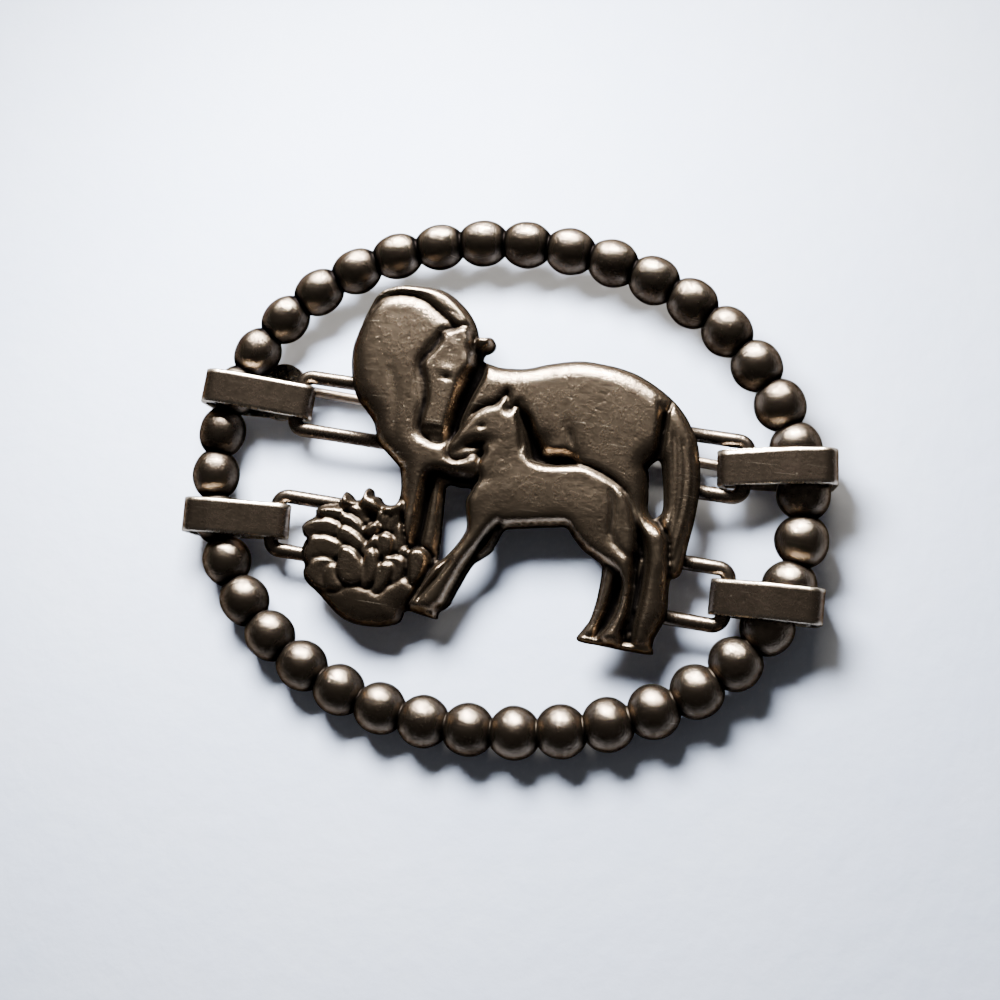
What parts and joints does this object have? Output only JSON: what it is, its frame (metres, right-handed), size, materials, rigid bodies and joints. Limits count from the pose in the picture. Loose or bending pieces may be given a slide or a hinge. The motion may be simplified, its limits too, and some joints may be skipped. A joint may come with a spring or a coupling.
{
  "type": "horse brooch",
  "caption": "Oval brooch: a cast relief of a mare, her foal and a flower bud, held by folded bands in a beaded ring, with a pin behind.",
  "frame": {"origin": "under the middle of the whole brooch, on the surface it lies on", "axes": "+X across the brooch, along its pin; +Y up the figure; +Z out of its face"},
  "size_m": [0.0488, 0.0408, 0.006],
  "materials": {
    "ring_silver": "satin, darkened in the hollows between the beads",
    "plaque_silver": "cast, worn bright on the heights and black in the hollows",
    "band_silver": "sheet with fine scratches and bright cut edges",
    "pin_silver": "drawn wire, smooth"
  },
  "bodies": {
    "root": {"beaded_ring": "ring_silver", "horse_plaque": "plaque_silver", "band_upper_left": "band_silver", "band_lower_left": "band_silver", "band_upper_right": "band_silver", "band_lower_right": "band_silver", "pin_stem": "pin_silver"}
  },
  "joints": []
}
